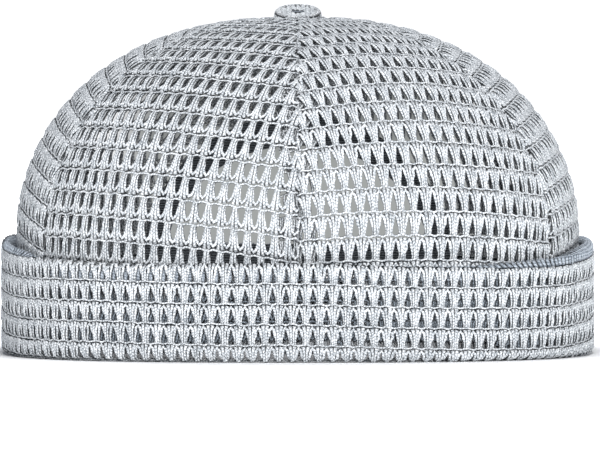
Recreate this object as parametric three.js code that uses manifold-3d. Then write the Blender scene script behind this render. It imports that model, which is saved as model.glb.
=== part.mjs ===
// Knit mesh watch cap: a dome of six openwork gores with a covered button on top, a turned-up
// double cuff round the bottom, and a bound half-moon gap above the cuff at the back.
// Millimetres, +Z up, front towards -Y. The origin is the middle of the bottom edge.
// An azimuth is measured from the front, positive towards +X.
import * as THREE from 'three';
import { mergeVertices } from 'three/addons/utils/BufferGeometryUtils.js';
import Module from 'manifold-3d';

const wasm = await Module();
wasm.setup();

const degree = Math.PI / 180;

// Crown, sizes on the outside of the fabric. The band below the shoulder is upright.
const crown = {
  halfWidth: 88.2,
  halfDepth: 79.2,
  hemHeight: 1.8,
  shoulderHeight: 39.7,
  topHeight: 105.4,
  wall: 1.5,
  widthCurve: 2.44, // exponents of the dome's profile: 2 is an ellipse, more is fuller
  depthCurve: 2.7,
  riseCurve: 1.86,
  hemSquareness: 2.6, // exponents of the plan, from the hem to the top
  topSquareness: 2.05,
  eyelet: 3, // radius left open at the top for the button's shank
  seamGap: 0.4,
  panels: 6,
};

// Cuff, sizes on its outside. An inset is measured inwards from the rim's widest line.
const cuff = {
  halfWidth: 93,
  halfDepth: 83.7,
  squareness: 2.6,
  layer: 1.3,
  layersGap: 0.6,
  frontRim: 31.5,
  rimRise: 3, // the rim stands higher behind the ears than in front
  rimLag: 2.43,
  templeRise: 2.85, // and swells up at the temples
  templeAzimuth: 74,
  templeReach: 16,
  foldRadius: 2.2,
  flange: 6.4,
  innerHem: 3.2,
  sections: 48,
};

// Half-moon gap at the back: the top half of an ellipse standing on the cuff's rim
const gap = { halfWidth: 39, height: 32, footHeight: 31.5, cutFoot: 29.5 };

// The binding wraps the gap's edge with a short outer leg and a wide inner tape
const binding = {
  tape: 1,
  clearance: 0.3,
  innerClearance: 0.6, // the gores' flat facets reach a little further in than their true curve
  outerLeg: 4,
  innerLeg: 12,
  endAngle: 6,
  steps: 18,
};

const button = { radius: 7.45, seat: 0.35, shankRadius: 2.2, shankDepth: 3.2, lean: 0.25, sides: 24 };

// Coarse net: each row is a height up the gore, as a climb from -1 at the hem over 0 at the
// shoulder to 1 at the top, and the number of gaps across the gore there
const netRows = [
  { climb: 0.06, count: 5 },
  { climb: 0.25, count: 4 },
  { climb: 0.44, count: 4 },
  { climb: 0.63, count: 2 },
];
const netGap = { width: 8.4, height: 13, tip: 1.6, rowDrop: 5, reach: 3 };
const cuffNet = { count: 24, height: 15, gapWidth: 8.4, gapHeight: 13 };

const palette = { yarn: 0xc3cace, tape: 0x3c4248 };

function planPoint(azimuth, halfWidth, halfDepth, squareness, height) {
  const across = Math.abs(Math.sin(azimuth)) / halfWidth;
  const along = Math.abs(Math.cos(azimuth)) / halfDepth;
  const radius = (across ** squareness + along ** squareness) ** (-1 / squareness);
  return new THREE.Vector3(radius * Math.sin(azimuth), -radius * Math.cos(azimuth), height);
}

// Half width, half depth, height and squareness of the crown at one climb
function crownLevel(climb, inset) {
  const angle = Math.max(climb, 0) * 90 * degree;
  const domeHeight = crown.topHeight - inset - crown.shoulderHeight;
  const rise = Math.sin(angle) ** (2 / crown.riseCurve);
  const bandDrop = Math.min(climb, 0) * (crown.shoulderHeight - crown.hemHeight);
  return {
    halfWidth: (crown.halfWidth - inset) * Math.cos(angle) ** (2 / crown.widthCurve),
    halfDepth: (crown.halfDepth - inset) * Math.cos(angle) ** (2 / crown.depthCurve),
    height: crown.shoulderHeight + bandDrop + domeHeight * rise,
    squareness: THREE.MathUtils.lerp(crown.hemSquareness, crown.topSquareness, rise),
  };
}

function crownPoint(azimuth, climb, inset) {
  const level = crownLevel(climb, inset);
  return planPoint(azimuth, level.halfWidth, level.halfDepth, level.squareness, level.height);
}

// Where the back of the crown stands at a given x and height
function crownBack(x, height, inset) {
  const domeHeight = crown.topHeight - inset - crown.shoulderHeight;
  const rise = Math.max(0, (height - crown.shoulderHeight) / domeHeight);
  const climb = Math.asin(rise ** (crown.riseCurve / 2)) / (90 * degree);
  const level = crownLevel(climb, inset);
  const share = 1 - (Math.abs(x) / level.halfWidth) ** level.squareness;
  return new THREE.Vector3(x, level.halfDepth * share ** (1 / level.squareness), height);
}

function rimHeight(azimuth) {
  const side = Math.sin(azimuth) ** 2;
  const fromTemple = Math.acos(Math.cos(azimuth)) / degree - cuff.templeAzimuth;
  const swell = cuff.templeRise * Math.exp(-((fromTemple / cuff.templeReach) ** 2) / 2);
  return cuff.frontRim + cuff.rimRise * side * (1 - cuff.rimLag * Math.cos(azimuth)) + swell;
}

function cuffPoint(azimuth, inset, height) {
  return planPoint(azimuth, cuff.halfWidth - inset, cuff.halfDepth - inset, cuff.squareness, height);
}

// Triangles over a closed flat outline given as points in space
function capFaces(outline) {
  const normal = new THREE.Vector3();
  outline.forEach((point, i) => {
    normal.add(new THREE.Vector3().crossVectors(point, outline[(i + 1) % outline.length]));
  });
  normal.normalize();
  const xAxis = new THREE.Vector3().subVectors(outline[1], outline[0]).normalize();
  const yAxis = new THREE.Vector3().crossVectors(normal, xAxis);
  const flat = outline.map((point) => new THREE.Vector2(point.dot(xAxis), point.dot(yAxis)));
  return THREE.ShapeUtils.triangulateShape(flat, []);
}

// A solid swept through closed outlines with the same number of points each. The outlines run
// clockwise when seen against the sweep. A ring joins its last outline to its first.
function sweep(outlines, ring) {
  const size = outlines[0].length;
  const vertices = outlines.flat().flatMap((point) => point.toArray());
  const faces = [];
  const spans = ring ? outlines.length : outlines.length - 1;
  for (let i = 0; i < spans; i += 1) {
    const here = i * size;
    const next = ((i + 1) % outlines.length) * size;
    for (let j = 0; j < size; j += 1) {
      const k = (j + 1) % size;
      faces.push(here + j, next + k, here + k, here + j, next + j, next + k);
    }
  }
  if (!ring) {
    const last = (outlines.length - 1) * size;
    capFaces(outlines[0]).forEach(([a, b, c]) => faces.push(a, b, c));
    capFaces(outlines[outlines.length - 1]).forEach(([a, b, c]) => faces.push(last + a, last + c, last + b));
  }
  const geometry = new THREE.BufferGeometry();
  geometry.setAttribute('position', new THREE.Float32BufferAttribute(vertices, 3));
  geometry.setIndex(faces);
  return geometry;
}

function toSolid(geometry) {
  const bare = geometry.clone();
  bare.deleteAttribute('normal');
  bare.deleteAttribute('uv');
  const merged = mergeVertices(bare, 1e-4);
  const vertProperties = new Float32Array(merged.attributes.position.array);
  const triVerts = new Uint32Array(merged.index.array);
  return new wasm.Manifold(new wasm.Mesh({ numProp: 3, vertProperties, triVerts }));
}

function toGeometry(solid) {
  const { vertProperties, triVerts } = solid.getMesh();
  const geometry = new THREE.BufferGeometry();
  geometry.setAttribute('position', new THREE.BufferAttribute(vertProperties, 3));
  geometry.setIndex(new THREE.BufferAttribute(triVerts, 1));
  return geometry;
}

// A tapered cutter standing through a wall: wide at its foot, or at its head when turned over
function netCutter(width, height, base, outward, reachOut, reachIn, turned) {
  const way = turned ? -1 : 1;
  const foot = -height / 2;
  const half = width / 2;
  const shape = new THREE.Shape([
    new THREE.Vector2(-half, foot),
    new THREE.Vector2(half, foot),
    new THREE.Vector2(netGap.tip / 2, -foot),
    new THREE.Vector2(-netGap.tip / 2, -foot),
  ].map((point) => point.multiplyScalar(way)));
  const depth = reachOut + reachIn;
  const cutter = new THREE.ExtrudeGeometry(shape, { depth, bevelEnabled: false });
  cutter.translate(0, 0, -reachIn);
  const side = new THREE.Vector3(0, 0, 1).cross(outward).normalize();
  const up = new THREE.Vector3().crossVectors(outward, side);
  cutter.applyMatrix4(new THREE.Matrix4().makeBasis(side, up, outward).setPosition(base));
  return toSolid(cutter);
}

function crownOutward(azimuth, climb) {
  const step = 0.01;
  const along = crownPoint(azimuth + step, climb, 0).sub(crownPoint(azimuth - step, climb, 0));
  const up = crownPoint(azimuth, climb + step, 0).sub(crownPoint(azimuth, climb - step, 0));
  return along.cross(up).normalize();
}

// The climb at which the crown's half width is that of the eyelet
function topClimb() {
  const share = (crown.eyelet / crown.halfWidth) ** (crown.widthCurve / 2);
  return Math.acos(share) / (90 * degree);
}

// Outline of the wall at one azimuth: up the outside and down the inside
function wallOutline(azimuth, climbs) {
  const outside = climbs.map((climb) => crownPoint(azimuth, climb, 0));
  const inside = climbs.map((climb) => crownPoint(azimuth, climb, crown.wall));
  return [...outside, ...inside.reverse()];
}

// An azimuth moved away from a seam by half the seam gap, whatever the radius there
function clearOfSeam(azimuth, point, side) {
  const radius = Math.hypot(point.x, point.y);
  return azimuth + (side * crown.seamGap) / 2 / radius;
}

function panelBlank(from, to) {
  const columns = 8;
  const bandSteps = 1;
  const domeSteps = 11;
  const climbs = [];
  for (let i = 0; i < bandSteps; i += 1) climbs.push(i / bandSteps - 1);
  for (let i = 0; i <= domeSteps; i += 1) climbs.push((i / domeSteps) * topClimb());
  const outlines = [];
  for (let i = 0; i <= columns; i += 1) {
    const azimuth = THREE.MathUtils.lerp(from, to, i / columns);
    const side = 1 - (2 * i) / columns;
    const outline = wallOutline(azimuth, climbs).map((point) => {
      const moved = clearOfSeam(azimuth, point, side) - azimuth;
      return point.applyAxisAngle(new THREE.Vector3(0, 0, 1), moved);
    });
    outlines.push(outline);
  }
  return toSolid(sweep(outlines, false));
}

// Rows dip towards the seams, as the sewn fabric's do
function netPlace(from, to, row, share) {
  const fromMiddle = 2 * share - 1;
  const azimuth = THREE.MathUtils.lerp(from, to, share);
  const domeArc = 125;
  return { azimuth, climb: row.climb - (netGap.rowDrop * fromMiddle ** 2) / domeArc };
}

// True where a net gap would run into the half-moon gap or its binding
function nearHalfMoon(point) {
  const margin = binding.innerLeg + netGap.width / 2;
  const x = point.x / (gap.halfWidth + margin);
  const rise = (point.z - gap.footHeight) / (gap.height + margin);
  return point.y > 0 && Math.hypot(x, rise) < 1;
}

function crownPanel(index) {
  const from = (index * 360 * degree) / crown.panels;
  const to = ((index + 1) * 360 * degree) / crown.panels;
  const turned = index % 2 === 1;
  let solid = panelBlank(from, to);
  for (const row of netRows) {
    for (let i = 0; i < row.count; i += 1) {
      const { azimuth, climb } = netPlace(from, to, row, (i + 0.5) / row.count);
      const base = crownPoint(azimuth, climb, 0);
      if (nearHalfMoon(base)) continue;
      const outward = crownOutward(azimuth, climb);
      const { width, height, reach } = netGap;
      solid = solid.subtract(netCutter(width, height, base, outward, reach, reach, turned));
    }
  }
  const touchesBack = Math.abs(from - Math.PI) < 1e-6 || Math.abs(to - Math.PI) < 1e-6;
  return toGeometry(touchesBack ? solid.subtract(halfMoonCutter()) : solid);
}

function halfMoonCutter() {
  const shape = new THREE.Shape();
  const steps = 24;
  shape.moveTo(gap.halfWidth, gap.cutFoot);
  for (let i = 0; i <= steps; i += 1) {
    const angle = (i / steps) * Math.PI;
    shape.lineTo(gap.halfWidth * Math.cos(angle), gap.footHeight + gap.height * Math.sin(angle));
  }
  shape.lineTo(-gap.halfWidth, gap.cutFoot);
  const cutter = new THREE.ExtrudeGeometry(shape, { depth: cuff.halfDepth, bevelEnabled: false });
  cutter.rotateX(90 * degree);
  cutter.translate(0, cuff.halfDepth * 1.5, 0);
  return toSolid(cutter);
}

// A strip with a C section round the half-moon's edge, following the crown's curve
function openingBinding() {
  const { tape, clearance, innerClearance, outerLeg, innerLeg } = binding;
  const inner = crown.wall + innerClearance;
  const section = [ // distance into the fabric from the edge, inset from the crown's outside
    { into: outerLeg, inset: -clearance - tape },
    { into: outerLeg, inset: -clearance },
    { into: -clearance, inset: -clearance },
    { into: -clearance, inset: inner },
    { into: innerLeg, inset: inner },
    { into: innerLeg, inset: inner + tape },
    { into: -clearance - tape, inset: inner + tape },
    { into: -clearance - tape, inset: -clearance - tape },
  ];
  const outlines = [];
  for (let i = 0; i <= binding.steps; i += 1) {
    const angle = THREE.MathUtils.lerp(binding.endAngle, 180 - binding.endAngle, i / binding.steps) * degree;
    const edge = new THREE.Vector2(gap.halfWidth * Math.cos(angle), gap.height * Math.sin(angle));
    const away = new THREE.Vector2(Math.cos(angle) / gap.halfWidth, Math.sin(angle) / gap.height).normalize();
    outlines.push(section.map(({ into, inset }) => {
      const place = edge.clone().addScaledVector(away, into);
      return crownBack(place.x, gap.footHeight + place.y, inset);
    }));
  }
  return sweep(outlines, false);
}

// Outer layer, fold over the rim, inner layer, and the bottom turned in under the crown's hem
function cuffOutline(azimuth) {
  const rim = rimHeight(azimuth);
  const { layer, layersGap, foldRadius, flange, innerHem } = cuff;
  const thick = 2 * layer + layersGap;
  const bend = thick / 2;
  const section = [
    [flange, 0],
    [foldRadius, 0],
    [0.9, 0.7],
    [0.35, foldRadius],
    [0.2, rim / 2],
    [0, rim - bend],
    [bend * 0.3, rim - bend * 0.3],
    [bend, rim],
    [thick - bend * 0.3, rim - bend * 0.3],
    [thick, rim - bend],
    [thick, innerHem],
    [layer + layersGap, innerHem],
    [layer + layersGap, rim - bend],
    [layer, rim - bend],
    [layer + 0.2, foldRadius],
    [foldRadius + 0.6, layer + 0.1],
    [flange, layer + 0.1],
  ];
  return section.map(([inset, height]) => cuffPoint(azimuth, inset, height));
}

function cuffRing() {
  const outlines = [];
  for (let i = 0; i < cuff.sections; i += 1) {
    outlines.push(cuffOutline((i * 360 * degree) / cuff.sections));
  }
  let solid = toSolid(sweep(outlines, true));
  const reachIn = cuff.layer + cuff.layersGap / 2;
  for (let i = 0; i < cuffNet.count; i += 1) {
    const azimuth = ((i + 0.5) * 360 * degree) / cuffNet.count;
    const base = cuffPoint(azimuth, 0, cuffNet.height);
    const ahead = cuffPoint(azimuth + 0.01, 0, cuffNet.height);
    const outward = ahead.sub(base).cross(new THREE.Vector3(0, 0, 1)).normalize();
    const { gapWidth, gapHeight } = cuffNet;
    solid = solid.subtract(netCutter(gapWidth, gapHeight, base, outward, netGap.reach, reachIn, false));
  }
  return toGeometry(solid);
}

// Covered button: a low disc with a dimple, leaning forwards, on a shank through the eyelet
function topButton() {
  const seat = crown.topHeight + button.seat;
  const profile = [ // radius and height above the seat
    [0, -button.shankDepth],
    [button.shankRadius, -button.shankDepth],
    [button.shankRadius, 0],
    [6.6, 0],
    [7.3, 0.5],
    [button.radius, 1.1],
    [7, 1.8],
    [5, 2.4],
    [2, 2.5],
    [0.9, 1.9],
    [0, 1.8],
  ].map(([radius, height]) => new THREE.Vector2(radius, height));
  const disc = new THREE.LatheGeometry(profile, button.sides);
  disc.rotateX(90 * degree);
  const places = disc.attributes.position;
  for (let i = 0; i < places.count; i += 1) {
    const height = places.getZ(i);
    const lift = THREE.MathUtils.clamp(height / 2, 0, 1) * button.lean * places.getY(i);
    places.setZ(i, seat + height + lift);
  }
  return toGeometry(toSolid(disc));
}

const fabric = () => new THREE.MeshStandardMaterial({ color: palette.yarn, roughness: 0.9, metalness: 0 });
const tapeCloth = () => new THREE.MeshStandardMaterial({ color: palette.tape, roughness: 0.95, metalness: 0 });

function piece(name, geometry, material) {
  const mesh = new THREE.Mesh(geometry, material);
  mesh.name = name;
  return mesh;
}

const cap = new THREE.Group();
const panelNames = ['front_right', 'side_right', 'back_right', 'back_left', 'side_left', 'front_left'];
panelNames.forEach((name, index) => {
  cap.add(piece(`crown_panel_${name}`, crownPanel(index), fabric()));
});
cap.add(piece('cuff', cuffRing(), fabric()));
cap.add(piece('top_button', topButton(), fabric()));
cap.add(piece('opening_binding', openingBinding(), tapeCloth()));

export default cap;
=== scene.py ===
import math

import bpy
import numpy as np
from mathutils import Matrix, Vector


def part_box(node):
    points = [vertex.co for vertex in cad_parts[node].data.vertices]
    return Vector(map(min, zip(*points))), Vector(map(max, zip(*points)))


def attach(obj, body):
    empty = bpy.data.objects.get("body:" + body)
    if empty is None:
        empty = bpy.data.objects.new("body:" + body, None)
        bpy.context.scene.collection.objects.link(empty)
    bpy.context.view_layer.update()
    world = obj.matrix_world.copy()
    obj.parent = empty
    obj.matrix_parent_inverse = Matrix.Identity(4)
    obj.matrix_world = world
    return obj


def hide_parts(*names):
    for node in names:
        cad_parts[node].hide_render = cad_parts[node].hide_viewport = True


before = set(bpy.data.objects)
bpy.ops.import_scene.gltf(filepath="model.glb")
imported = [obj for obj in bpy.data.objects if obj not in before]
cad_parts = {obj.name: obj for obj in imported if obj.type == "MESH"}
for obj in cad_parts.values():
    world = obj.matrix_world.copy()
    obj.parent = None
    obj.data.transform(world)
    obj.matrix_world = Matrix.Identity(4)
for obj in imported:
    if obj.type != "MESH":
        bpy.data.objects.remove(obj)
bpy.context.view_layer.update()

mm = 0.001
degree = math.pi / 180

# Lengths are millimetres in the dictionaries and metres in the meshes.
# An azimuth is measured from the front, positive towards +X.


def linearColour(hexColour):
    channels = [int(hexColour[i:i + 2], 16) / 255 for i in (1, 3, 5)]
    linear = [c / 12.92 if c <= 0.04045 else ((c + 0.055) / 1.055) ** 2.4 for c in channels]
    return (*linear, 1.0)


def addNode(tree, kind, settings=None, inputs=(), output=0):
    # Settings go by name, and values or links for the inputs by name or in their order
    node = tree.nodes.new(kind)
    for name, value in (settings or {}).items():
        setattr(node, name, value)
    for name, value in inputs.items() if isinstance(inputs, dict) else enumerate(inputs):
        if isinstance(value, bpy.types.NodeSocket):
            tree.links.new(value, node.inputs[name])
        else:
            node.inputs[name].default_value = value
    return node if output is None else node.outputs[output]


def addObject(name, data):
    obj = bpy.data.objects.new(name, data)
    bpy.context.scene.collection.objects.link(obj)
    return obj


def runAlong(line):
    # How far along a line each of its points lies
    return np.concatenate([[0], np.cumsum(np.linalg.norm(np.diff(line, axis=0), axis=1))])


def triangleCount(mesh):
    return sum(len(face.vertices) - 2 for face in mesh.polygons)


# Camera: a long lens, a little above level, framed as the photo is
camera = {
    "pixelsPerMm": 3.183,
    "imageWidth": 600,
    "distance": 5000,
    "elevation": 1.8,
    "aim": (0.7, 0, 39.6),
    "sensor": 36,
    "clipEnd": 50000,
}


def addCamera():
    data = bpy.data.cameras.new("photoCamera")
    data.sensor_width = camera["sensor"]
    fieldWidth = camera["imageWidth"] / camera["pixelsPerMm"]
    data.lens = camera["sensor"] * camera["distance"] / fieldWidth
    data.clip_end = camera["clipEnd"] * mm
    holder = addObject("photoCamera", data)
    tilt = camera["elevation"] * degree
    away = Vector((0, -math.cos(tilt), math.sin(tilt)))
    holder.location = (Vector(camera["aim"]) + away * camera["distance"]) * mm
    holder.rotation_euler = (math.pi / 2 - tilt, 0, 0)
    bpy.context.scene.camera = holder


addCamera()
print("camera set")

# Crown surface, the same rule as the solid gores follow
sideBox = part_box("crown_panel_side_right")
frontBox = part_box("crown_panel_front_right")
crown = {
    "halfWidth": sideBox[1].x / mm,
    "halfDepth": -frontBox[0].y / mm,
    "hemHeight": frontBox[0].z / mm,
    "topHeight": frontBox[1].z / mm,
    "shoulderHeight": 39.7,
    "widthCurve": 2.44,
    "depthCurve": 2.7,
    "riseCurve": 1.86,
    "hemSquareness": 2.6,
    "topSquareness": 2.05,
    "fabricMiddle": 0.75,  # from the outside of the wall to the middle of the yarn
    "panels": 6,
    "normalStep": 0.004,  # the way the surface faces is found from points this far apart
    "highestClimb": 0.998,
}


def planPoint(azimuth, halfWidth, halfDepth, squareness, height):
    across = np.abs(np.sin(azimuth)) / halfWidth
    along = np.abs(np.cos(azimuth)) / halfDepth
    radius = (across ** squareness + along ** squareness) ** (-1 / squareness)
    return np.array([radius * np.sin(azimuth), -radius * np.cos(azimuth), height])


def crownPlan(angle, rise, inset):
    # Half the width, half the depth and the squareness of the crown at one height
    halfWidth = (crown["halfWidth"] - inset) * math.cos(angle) ** (2 / crown["widthCurve"])
    halfDepth = (crown["halfDepth"] - inset) * math.cos(angle) ** (2 / crown["depthCurve"])
    squareness = crown["hemSquareness"] + (crown["topSquareness"] - crown["hemSquareness"]) * rise
    return halfWidth, halfDepth, squareness


def crownPoint(azimuth, climb, inset):
    # climb runs from -1 at the hem over 0 at the shoulder to 1 at the top
    angle = max(climb, 0) * math.pi / 2
    domeHeight = crown["topHeight"] - inset - crown["shoulderHeight"]
    rise = math.sin(angle) ** (2 / crown["riseCurve"])
    bandDrop = min(climb, 0) * (crown["shoulderHeight"] - crown["hemHeight"])
    height = crown["shoulderHeight"] + bandDrop + domeHeight * rise
    return planPoint(azimuth, *crownPlan(angle, rise, inset), height)


def crownOutward(azimuth, climb, inset):
    step = crown["normalStep"]
    along = crownPoint(azimuth + step, climb, inset) - crownPoint(azimuth - step, climb, inset)
    high = min(climb + step, crown["highestClimb"])
    up = crownPoint(azimuth, high, inset) - crownPoint(azimuth, climb - step, inset)
    outward = np.cross(along, up)
    return outward / np.linalg.norm(outward)


# Cuff, sizes on its outside, as the solid cuff has them
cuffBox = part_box("cuff")
cuff = {
    "halfWidth": cuffBox[1].x / mm,
    "halfDepth": cuffBox[1].y / mm,
    "squareness": 2.6,
    "frontRim": 31.5,
    "rimRise": 3,
    "rimLag": 2.43,
    "templeRise": 2.85,  # the rim swells up at the temples
    "templeAzimuth": 74,
    "templeReach": 16,
    "outerMiddle": 0.75,  # insets of the middle of the yarn in the two layers
    "innerMiddle": 2.55,
    "innerPressed": 1.9,  # lower down, where the two layers lie against each other
    "closingHeight": 14,
    "flange": 6.2,
    "bottomTurn": 1.7,
    "foldTilt": 1.3,  # how much higher the fold stands on its inner side, at the right temple
    "foldTiltCurve": 1.5,
    "normalStep": 0.01,
    "innerHem": 3.4,
    # points of the section along the flange, the bottom turn, the outer layer, the fold and the
    # inner layer
    "sectionSteps": (5, 6, 12, 9, 14),
}


def templeSwell(azimuth):
    fromTemple = math.acos(math.cos(azimuth)) / degree - cuff["templeAzimuth"]
    return cuff["templeRise"] * math.exp(-((fromTemple / cuff["templeReach"]) ** 2) / 2)


def rimHeight(azimuth):
    side = math.sin(azimuth) ** 2
    level = cuff["frontRim"] + cuff["rimRise"] * side * (1 - cuff["rimLag"] * math.cos(azimuth))
    return level + templeSwell(azimuth)


def cuffPoint(azimuth, inset, height):
    halfWidth = cuff["halfWidth"] - inset
    halfDepth = cuff["halfDepth"] - inset
    return planPoint(azimuth, halfWidth, halfDepth, cuff["squareness"], height)


# One stitch of the openwork: a hairpin of yarn round a tapered hole, a ribbed pillar on its
# right, and a scalloped strand under the hole. It is drawn flat, hole wide at the foot.
# A path's places are across, up, outward and the yarn's radius there.
stitch = {
    "width": 4.2,
    "height": 6.8,
    "hairpin": [(1.0, -3.4, -0.5, 0.34), (1.35, -2.5, -0.25, 0.37), (1.22, -1.2, -0.1, 0.46),
                (0.88, 0.2, 0.05, 0.62), (0.78, 1.6, 0.2, 0.66), (0, 2.6, 0.36, 0.62)],
    # the hairpin of the gores that are turned over, where the hole's narrow end is rounder
    "roundHairpin": [(1.1, -3.4, -0.5, 0.34), (1.42, -2.5, -0.25, 0.38), (1.3, -1.0, -0.1, 0.45),
                     (1.06, 0.5, 0.05, 0.53), (0.88, 1.45, 0.2, 0.6), (0, 2.3, 0.36, 0.62)],
    "strand": [(2.6, -2.95, 0.3, 0.3), (1.25, -3.2, 0.2, 0.36), (0, -3.5, 0.1, 0.38)],
    "rib": [(0.36, -3.5, 0, 0.38), (0.36, -1.8, 0.4, 0.44), (0.38, 1.0, 0.42, 0.46),
            (0.72, 2.9, 0.1, 0.74)],
    # two straight ribs to a stitch, where the cuff folds over its rim: where they stand, and the
    # places up, outward and the radius along one
    "foldRibs": [-1.05, 1.05],
    "foldRib": [(-3.5, -0.25, 0.84), (-1.2, -0.2, 0.88), (1.2, -0.2, 0.88), (3.5, -0.25, 0.84)],
    "foldRibSides": 8,
    # sides of the yarn, then places along the hairpin, the strand and the rib, 0 for those drawn
    "fineSteps": (5, 0, 5, 4),
    "plainSteps": (4, 7, 3, 3),
    "variants": 3,
    "unevenness": 0.08,
    "radiusUnevenness": 0.4,  # as a share of that of the places
    "seeds": {"stitch": 50, "plainStitch": 60, "ribs": 70, "roundStitch": 90},
}


def smoothPath(points, count):
    points = np.array(points, float)
    lengths = np.linalg.norm(np.diff(points, axis=0), axis=1)
    place = np.concatenate([[0], np.cumsum(lengths)])
    padded = np.vstack([2 * points[0] - points[1], points, 2 * points[-1] - points[-2]])
    out = []
    for t in np.linspace(0, place[-1], count):
        i = min(np.searchsorted(place, t, side="right") - 1, len(points) - 2)
        f = (t - place[i]) / lengths[i]
        a, b, c, d = padded[i:i + 4]
        out.append(0.5 * (2 * b + (c - a) * f + (2 * a - 5 * b + 4 * c - d) * f * f
                          + (3 * b - a - 3 * c + d) * f ** 3))
    return np.array(out)


class MeshParts:
    def __init__(self):
        self.vertices = []
        self.faces = []
        self.uvs = []

    def addTube(self, path, sides, twist=1):
        # path: rows of x, y, z and radius; twist: which way round the yarn's map runs
        path = np.asarray(path, float)
        line, radii = path[:, :3], path[:, 3]
        tangents = np.gradient(line, axis=0)
        tangents /= np.linalg.norm(tangents, axis=1)[:, None]
        run = runAlong(line)
        first = len(self.vertices)
        for point, tangent, radius in zip(line, tangents, radii):
            side = np.cross([0, 0, 1.0], tangent)
            side /= np.linalg.norm(side)
            lift = np.cross(tangent, side)
            for k in range(sides):
                angle = 2 * math.pi * k / sides
                self.vertices.append(point + (side * math.cos(angle) + lift * math.sin(angle)) * radius)
        for i in range(len(line) - 1):
            for k in range(sides):
                a = first + i * sides + k
                b = first + i * sides + (k + 1) % sides
                self.faces.append((a, b, b + sides, a + sides))
                low, high = twist * k / sides, twist * (k + 1) / sides
                self.uvs += [(run[i], low), (run[i], high), (run[i + 1], high), (run[i + 1], low)]
        last = first + (len(line) - 1) * sides
        self.faces.append(tuple(first + k for k in reversed(range(sides))))
        self.faces.append(tuple(last + k for k in range(sides)))
        self.uvs += [(0, 0)] * sides + [(run[-1], 0)] * sides

    def toObject(self, name):
        mesh = bpy.data.meshes.new(name)
        mesh.from_pydata([tuple(v) for v in self.vertices], [], self.faces)
        mesh.uv_layers.new(name="yarn").data.foreach_set("uv", np.array(self.uvs, float).ravel())
        mesh.polygons.foreach_set("use_smooth", [True] * len(mesh.polygons))
        return addObject(name, mesh)


def mirrored(half):
    whole = [(-x, y, z, r) for x, y, z, r in half]
    return whole + [place for place in reversed(half) if place[0] != 0]


def stitchShape(name, seed, steps, loop="hairpin"):
    s = stitch
    sides, hairpinSteps, strandSteps, ribSteps = steps
    random = np.random.default_rng(seed)
    parts = MeshParts()

    def uneven(path):
        shift = random.normal(0, s["unevenness"], (len(path), 4)) * (1, 1, 1, s["radiusUnevenness"])
        shift[0] = shift[-1] = 0
        return np.array(path) + shift

    hairpin = uneven(mirrored(s[loop]))
    parts.addTube(smoothPath(hairpin, hairpinSteps) if hairpinSteps else hairpin, sides)
    parts.addTube(smoothPath(uneven(mirrored(s["strand"])), strandSteps), sides)
    for side in (-1, 1):
        rib = uneven([(s["width"] / 2 + side * x, y, z, r) for x, y, z, r in s["rib"]])
        parts.addTube(smoothPath(rib, ribSteps), sides, side)
    return parts.toObject(name)


def ribbedShape(name, seed):
    s = stitch
    random = np.random.default_rng(seed)
    parts = MeshParts()
    for x in s["foldRibs"]:
        rib = [(x + random.normal(0, s["unevenness"]), y, z, r) for y, z, r in s["foldRib"]]
        parts.addTube(rib, s["foldRibSides"])
    return parts.toObject(name)


# The tree lays the stitch out in rows and columns on flat cloth, then bends the whole cloth
# over a guide surface that carries the flat place of each of its points as a UV map.
patternUnit = 100  # millimetres of cloth for one unit of the guide's UV map
onBorder = 0.5  # the guide's cell, trim and plain values are this on their borders, and more inside
variantNames = [f"Stitch {i + 1}" for i in range(stitch["variants"])]
clothInputs = {
    "Guide": "NodeSocketObject",
    **dict.fromkeys(variantNames, "NodeSocketObject"),
    "Plain Stitch": "NodeSocketObject",
    "Columns": "NodeSocketInt",
    "Rows": "NodeSocketInt",
    "Pitch Across": "NodeSocketFloat",
    "Pitch Up": "NodeSocketFloat",
    "Centre Across": "NodeSocketFloat",
    "Centre Up": "NodeSocketFloat",
    "Row Drift": "NodeSocketFloat",
    "Turn": "NodeSocketFloat",
    "Stitch Scale": "NodeSocketVector",
    "Waviness": "NodeSocketFloat",
    "Seed": "NodeSocketInt",
    "Yarn": "NodeSocketMaterial",
}
looseness = {
    "lean": 0.035,
    "smallest": (0.96, 0.97, 0.9),
    "largest": (1.04, 1.03, 1.1),
    "wander": [(0.02, 1.0), (0.11, 0.35)],  # waves in a millimetre and how far they carry the yarn
    "wanderSeed": 31.7,
}


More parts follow.
